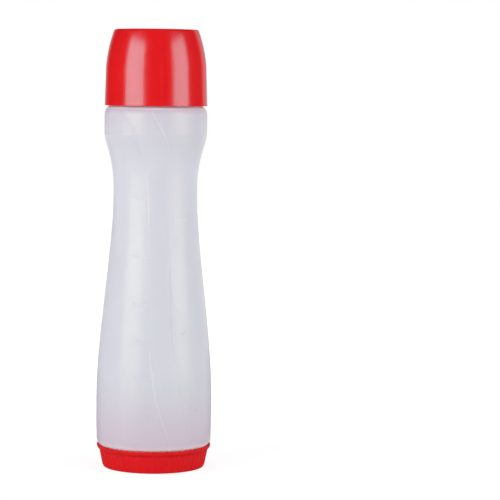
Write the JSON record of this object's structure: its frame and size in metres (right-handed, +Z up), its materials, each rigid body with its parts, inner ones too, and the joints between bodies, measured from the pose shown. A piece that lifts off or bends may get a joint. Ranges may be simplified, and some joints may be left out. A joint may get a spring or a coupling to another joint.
{
  "type": "batter dispenser bottle",
  "caption": "Waisted milky squeeze bottle for batter, with a red dome overcap over a valved spout and a ribbed red screw cap closing the wide mouth at its base.",
  "frame": {"origin": "centre of the base cap's foot ring, on the surface that the bottle stands on", "axes": "+Z up along the bottle's axis, towards the overcap; -Y is the front, which carries the two raised lines and the volume marks"},
  "size_m": [0.0788, 0.0792, 0.2986],
  "materials": {
    "milky_plastic": "translucent, soft sheen",
    "red_plastic": "gloss, faint moulding texture",
    "white_plastic": "satin",
    "silicone": "matt, slightly translucent"
  },
  "bodies": {
    "bottle": {"bottle": "milky_plastic"},
    "neck_seal": {"neck_seal": "silicone"},
    "nozzle_collar": {"nozzle_collar": "white_plastic", "valve": "silicone", "valve_retainer": "white_plastic"},
    "overcap": {"overcap": "red_plastic"},
    "base_seal": {"base_seal": "silicone"},
    "base_cap": {"base_cap": "red_plastic"}
  },
  "joints": [
    {"name": "neck_thread_rise", "type": "slide", "parent": "bottle", "child": "neck_seal", "axis": [0, 0, 1], "range_m": [0, 0.0056]},
    {"name": "collar_unscrew", "type": "hinge", "parent": "neck_seal", "child": "nozzle_collar", "pos_m": [0, 0, 0], "axis": [0, 0, 1], "range_deg": [0, 504]},
    {"name": "overcap_pull", "type": "slide", "parent": "nozzle_collar", "child": "overcap", "axis": [0, 0, 1], "range_m": [0, 0.05]},
    {"name": "base_thread_drop", "type": "slide", "parent": "bottle", "child": "base_seal", "axis": [0, 0, -1], "range_m": [0, 0.00352]},
    {"name": "base_cap_unscrew", "type": "hinge", "parent": "base_seal", "child": "base_cap", "pos_m": [0, 0, 0], "axis": [0, 0, -1], "range_deg": [0, 396]}
  ],
  "couplings": [
    {"joint": "neck_thread_rise", "follows": "collar_unscrew", "m_per_rad": 0.00063661},
    {"joint": "base_thread_drop", "follows": "base_cap_unscrew", "m_per_rad": 0.00050929}
  ]
}
